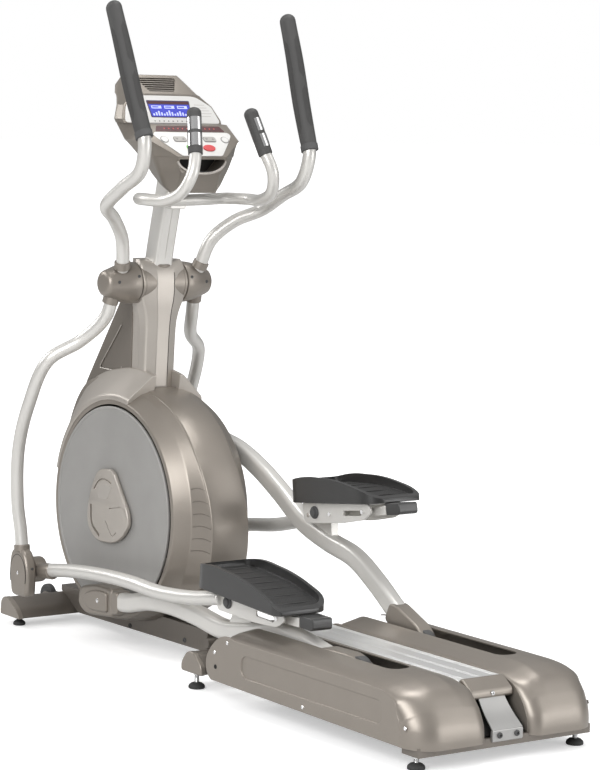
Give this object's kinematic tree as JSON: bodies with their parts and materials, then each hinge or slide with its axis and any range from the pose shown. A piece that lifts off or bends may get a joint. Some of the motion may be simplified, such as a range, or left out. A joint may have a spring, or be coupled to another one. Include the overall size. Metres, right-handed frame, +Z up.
{
  "type": "elliptical trainer",
  "caption": "Front-drive elliptical trainer with swing arms, pedal arms on rear rails, spinning crank discs, a mast console, pulse grips, levelling feet and transport wheels.",
  "frame": {"origin": "centre of the bounding box at the floor, under the levelling feet", "axes": "+Z up, +Y the way the user faces, +X the user's right"},
  "size_m": [0.613, 2.083, 1.8033],
  "materials": {
    "frame_paint": "satin metallic taupe paint",
    "track": "ribbed satin aluminium",
    "cover": "satin metallic taupe moulding",
    "flywheel": "turned iron",
    "rubber": "black rubber",
    "steel": "machined steel",
    "black_plastic": "black moulding",
    "silver": "satin silver paint",
    "disc": "matt warm grey moulding",
    "grip": "black soft grip",
    "pedal": "charcoal moulding with a textured tread",
    "console": "pale overlay with a blue display"
  },
  "bodies": {
    "base": {"main_frame": "frame_paint", "front_stabiliser": "frame_paint", "mid_stabiliser": "frame_paint", "rear_frame": "frame_paint", "centre_track": "track", "rear_end_cap": "cover", "spine_cover": "cover", "drive_belt": "rubber", "mast": "silver", "pivot_barrel": "cover", "rear_mast_cover": "cover", "front_mast_cover": "cover", "handrail": "silver", "console_housing": "cover", "console_face": "console", "left_rail_cover": "cover", "left_front_foot": "rubber", "left_mid_foot": "rubber", "left_rear_foot": "rubber", "left_side_case": "cover", "right_rail_cover": "cover", "right_front_foot": "rubber", "right_mid_foot": "rubber", "right_rear_foot": "rubber", "right_side_case": "cover", "left_pulse_grip": "grip", "right_pulse_grip": "grip"},
    "crank": {"crank_axle": "steel", "drive_pulley": "black_plastic", "left_crank_arm": "steel", "left_disc": "disc", "left_hub_cover": "cover", "right_crank_arm": "steel", "right_disc": "disc", "right_hub_cover": "cover"},
    "flywheel": {"flywheel": "flywheel"},
    "left_wheel": {"left_transport_wheel": "black_plastic"},
    "left_swing": {"left_upper_handle": "silver", "left_grip": "grip", "left_pivot_hub": "cover", "left_lower_arm": "silver", "left_joint_casing": "cover"},
    "left_axle": {"left_roller_axle": "steel"},
    "left_roller": {"left_roller": "black_plastic"},
    "left_arm": {"left_pedal_arm": "silver", "left_crank_boot": "cover"},
    "left_link": {"left_link_rod": "silver", "left_pedal": "pedal"},
    "right_wheel": {"right_transport_wheel": "black_plastic"},
    "right_swing": {"right_upper_handle": "silver", "right_grip": "grip", "right_pivot_hub": "cover", "right_lower_arm": "silver", "right_joint_casing": "cover"},
    "right_axle": {"right_roller_axle": "steel"},
    "right_roller": {"right_roller": "black_plastic"},
    "right_arm": {"right_pedal_arm": "silver", "right_crank_boot": "cover"},
    "right_link": {"right_link_rod": "silver", "right_pedal": "pedal"}
  },
  "joints": [
    {"name": "crank_spin", "type": "hinge", "parent": "base", "child": "crank", "pos_m": [0, 0.57, 0.385], "axis": [1, 0, 0], "continuous": true},
    {"name": "flywheel_spin", "type": "hinge", "parent": "base", "child": "flywheel", "pos_m": [0, 0.7565, 0.4], "axis": [1, 0, 0], "continuous": true},
    {"name": "left_wheel_spin", "type": "hinge", "parent": "base", "child": "left_wheel", "pos_m": [-0.066, 1.0075, 0.058], "axis": [1, 0, 0], "continuous": true},
    {"name": "left_stride", "type": "slide", "parent": "base", "child": "left_axle", "axis": [0, 1, 0], "range_m": [-0.125, 0.3]},
    {"name": "left_roller_spin", "type": "hinge", "parent": "left_axle", "child": "left_roller", "pos_m": [-0.173, -0.66275, 0.168], "axis": [1, 0, 0], "continuous": true},
    {"name": "left_lift", "type": "hinge", "parent": "left_axle", "child": "left_arm", "pos_m": [-0.173, -0.66275, 0.168], "axis": [1, 0, 0], "range_deg": [-0.2, 24.3]},
    {"name": "left_link_pivot", "type": "hinge", "parent": "left_arm", "child": "left_link", "pos_m": [-0.173, -0.16164, 0.25456], "axis": [1, 0, 0], "range_deg": [-37, 0.5]},
    {"name": "left_swing_pivot", "type": "hinge", "parent": "base", "child": "left_swing", "pos_m": [0, 0.57, 1.026], "axis": [1, 0, 0], "range_deg": [-9.8, 21.2]},
    {"name": "right_wheel_spin", "type": "hinge", "parent": "base", "child": "right_wheel", "pos_m": [0.066, 1.0075, 0.058], "axis": [1, 0, 0], "continuous": true},
    {"name": "right_stride", "type": "slide", "parent": "base", "child": "right_axle", "axis": [0, 1, 0], "range_m": [-0.3, 0.125]},
    {"name": "right_roller_spin", "type": "hinge", "parent": "right_axle", "child": "right_roller", "pos_m": [0.173, -0.48392, 0.168], "axis": [1, 0, 0], "continuous": true},
    {"name": "right_lift", "type": "hinge", "parent": "right_axle", "child": "right_arm", "pos_m": [0.173, -0.48392, 0.168], "axis": [1, 0, 0], "range_deg": [-24.3, 0.2]},
    {"name": "right_link_pivot", "type": "hinge", "parent": "right_arm", "child": "right_link", "pos_m": [0.173, -0.0619, 0.45175], "axis": [1, 0, 0], "range_deg": [-0.5, 37]},
    {"name": "right_swing_pivot", "type": "hinge", "parent": "base", "child": "right_swing", "pos_m": [0, 0.57, 1.026], "axis": [1, 0, 0], "range_deg": [-21.2, 9.8]}
  ],
  "couplings": [
    {"joint": "flywheel_spin", "follows": "crank_spin", "ratio": 6.8182},
    {"joint": "left_roller_spin", "follows": "left_stride", "rad_per_m": -29.412},
    {"joint": "left_link_pivot", "follows": "left_lift", "ratio": -1.5},
    {"joint": "left_swing_pivot", "follows": "left_stride", "rad_per_m": 1.2186},
    {"joint": "right_stride", "follows": "left_stride", "ratio": -1},
    {"joint": "right_lift", "follows": "left_lift", "ratio": -1},
    {"joint": "right_roller_spin", "follows": "left_stride", "rad_per_m": 29.412},
    {"joint": "right_link_pivot", "follows": "left_lift", "ratio": 1.5},
    {"joint": "right_swing_pivot", "follows": "left_stride", "rad_per_m": -1.2186}
  ]
}
